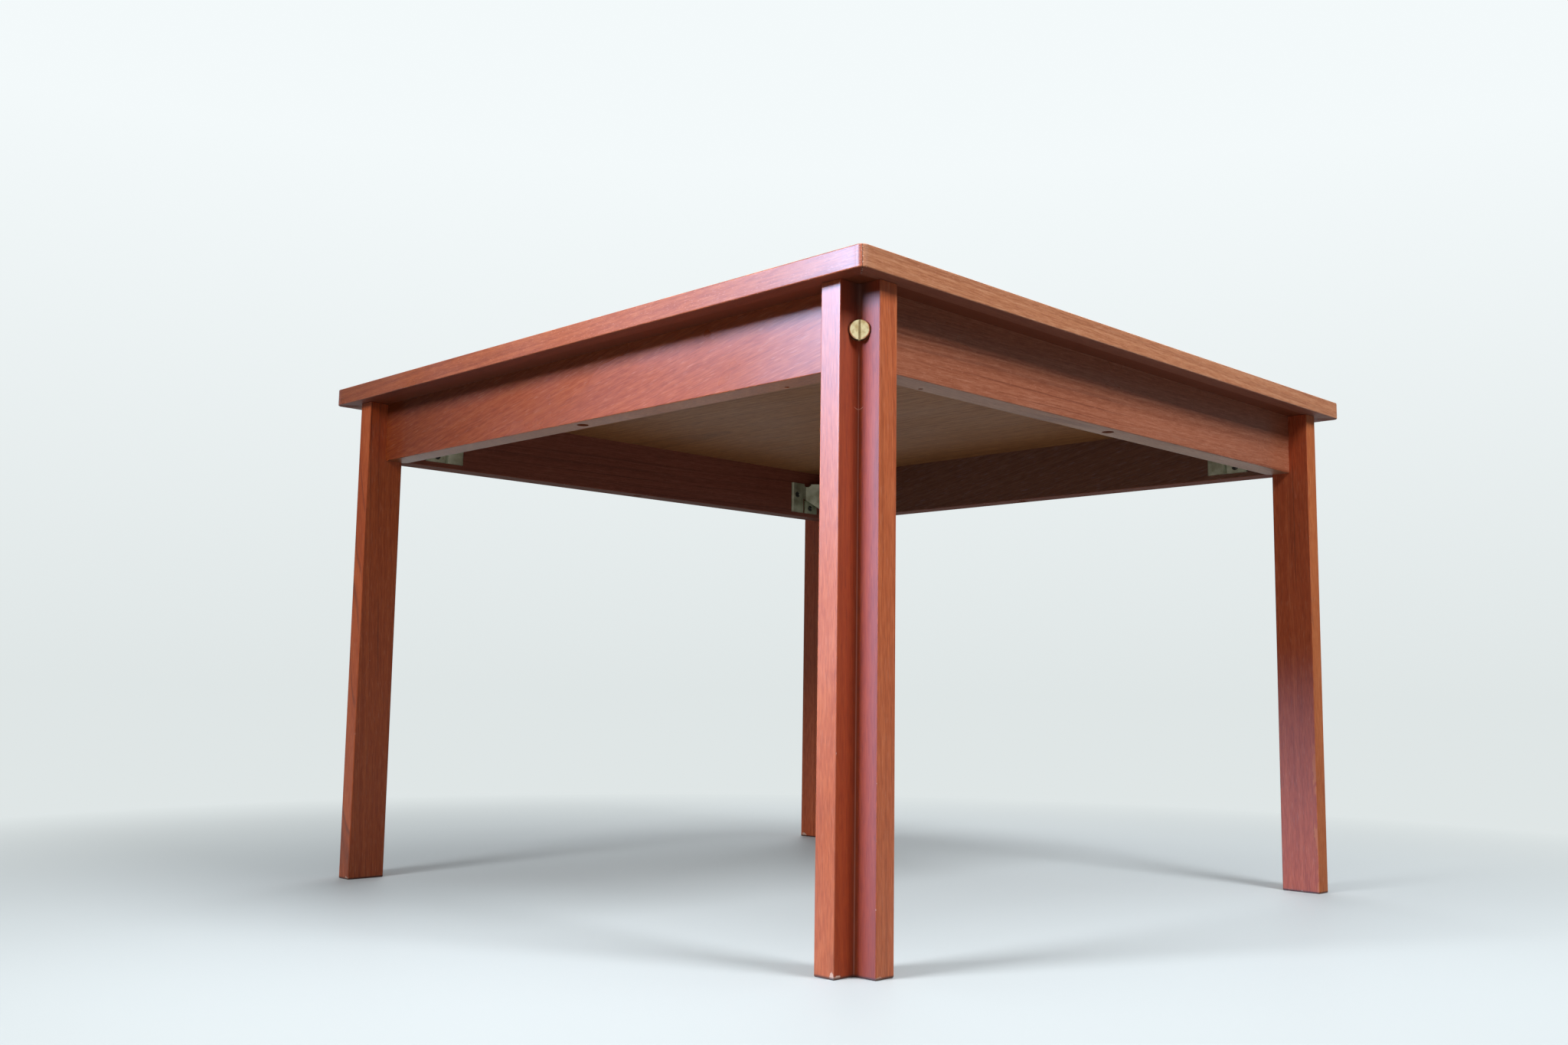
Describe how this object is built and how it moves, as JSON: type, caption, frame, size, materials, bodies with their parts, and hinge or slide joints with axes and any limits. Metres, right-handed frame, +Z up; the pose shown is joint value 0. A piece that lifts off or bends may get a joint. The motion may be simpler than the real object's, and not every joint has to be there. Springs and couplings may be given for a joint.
{
  "type": "low table",
  "caption": "Square low wooden table with a lipped top, aprons and notched corner legs that come away when their slotted brass screws are undone.",
  "frame": {"origin": "on the floor, under the middle of the top", "axes": "+Z up, -Y the front side, +X the right side; the aprons run along X and Y"},
  "size_m": [0.75, 0.75, 0.504],
  "materials": {
    "teak_top": "satin lacquered teak veneer",
    "teak_lipping": "satin lacquered solid teak",
    "teak_apron": "satin lacquered solid teak",
    "teak_leg": "satin lacquered solid teak",
    "teak_underside": "plain balancing veneer",
    "core_board": "bare particle board",
    "brass": "turned, lightly aged",
    "zinc_plate": "zinc plated with a yellowish passivation, dull",
    "screw_steel": "dark oiled steel"
  },
  "bodies": {
    "top_and_aprons": {"top_core": "core_board", "top_veneer": "teak_top", "underside_veneer": "teak_underside", "lipping_front": "teak_lipping", "apron_front": "teak_apron", "top_screw_front": "screw_steel", "lipping_right": "teak_lipping", "apron_right": "teak_apron", "top_screw_right": "screw_steel", "lipping_rear": "teak_lipping", "apron_rear": "teak_apron", "top_screw_rear": "screw_steel", "lipping_left": "teak_lipping", "apron_left": "teak_apron", "top_screw_left": "screw_steel", "corner_bracket_front_left": "zinc_plate", "bracket_nut_front_left": "zinc_plate", "bracket_screw_front_left_1": "screw_steel", "bracket_screw_front_left_2": "screw_steel", "bracket_screw_front_left_3": "screw_steel", "bracket_screw_front_left_4": "screw_steel", "corner_bracket_front_right": "zinc_plate", "bracket_nut_front_right": "zinc_plate", "bracket_screw_front_right_1": "screw_steel", "bracket_screw_front_right_2": "screw_steel", "bracket_screw_front_right_3": "screw_steel", "bracket_screw_front_right_4": "screw_steel", "corner_bracket_rear_right": "zinc_plate", "bracket_nut_rear_right": "zinc_plate", "bracket_screw_rear_right_1": "screw_steel", "bracket_screw_rear_right_2": "screw_steel", "bracket_screw_rear_right_3": "screw_steel", "bracket_screw_rear_right_4": "screw_steel", "corner_bracket_rear_left": "zinc_plate", "bracket_nut_rear_left": "zinc_plate", "bracket_screw_rear_left_1": "screw_steel", "bracket_screw_rear_left_2": "screw_steel", "bracket_screw_rear_left_3": "screw_steel", "bracket_screw_rear_left_4": "screw_steel"},
    "leg_front_left": {"leg_front_left": "teak_leg"},
    "leg_screw_front_left": {"leg_screw_front_left": "brass"},
    "leg_front_right": {"leg_front_right": "teak_leg"},
    "leg_screw_front_right": {"leg_screw_front_right": "brass"},
    "leg_rear_right": {"leg_rear_right": "teak_leg"},
    "leg_screw_rear_right": {"leg_screw_rear_right": "brass"},
    "leg_rear_left": {"leg_rear_left": "teak_leg"},
    "leg_screw_rear_left": {"leg_screw_rear_left": "brass"}
  },
  "joints": [
    {"name": "leg_front_left_draw", "type": "slide", "parent": "top_and_aprons", "child": "leg_front_left", "axis": [-0.7071, -0.7071, 0], "range_m": [0, 0.125]},
    {"name": "leg_screw_front_left_turn", "type": "hinge", "parent": "leg_front_left", "child": "leg_screw_front_left", "pos_m": [-0.363, -0.363, 0.4515], "axis": [-0.7071, -0.7071, 0], "continuous": true},
    {"name": "leg_front_right_draw", "type": "slide", "parent": "top_and_aprons", "child": "leg_front_right", "axis": [0.7071, -0.7071, 0], "range_m": [0, 0.125]},
    {"name": "leg_screw_front_right_turn", "type": "hinge", "parent": "leg_front_right", "child": "leg_screw_front_right", "pos_m": [0.363, -0.363, 0.4515], "axis": [0.7071, -0.7071, 0], "continuous": true},
    {"name": "leg_rear_right_draw", "type": "slide", "parent": "top_and_aprons", "child": "leg_rear_right", "axis": [0.7071, 0.7071, 0], "range_m": [0, 0.125]},
    {"name": "leg_screw_rear_right_turn", "type": "hinge", "parent": "leg_rear_right", "child": "leg_screw_rear_right", "pos_m": [0.363, 0.363, 0.4515], "axis": [0.7071, 0.7071, 0], "continuous": true},
    {"name": "leg_rear_left_draw", "type": "slide", "parent": "top_and_aprons", "child": "leg_rear_left", "axis": [-0.7071, 0.7071, 0], "range_m": [0, 0.125]},
    {"name": "leg_screw_rear_left_turn", "type": "hinge", "parent": "leg_rear_left", "child": "leg_screw_rear_left", "pos_m": [-0.363, 0.363, 0.4515], "axis": [-0.7071, 0.7071, 0], "continuous": true}
  ]
}
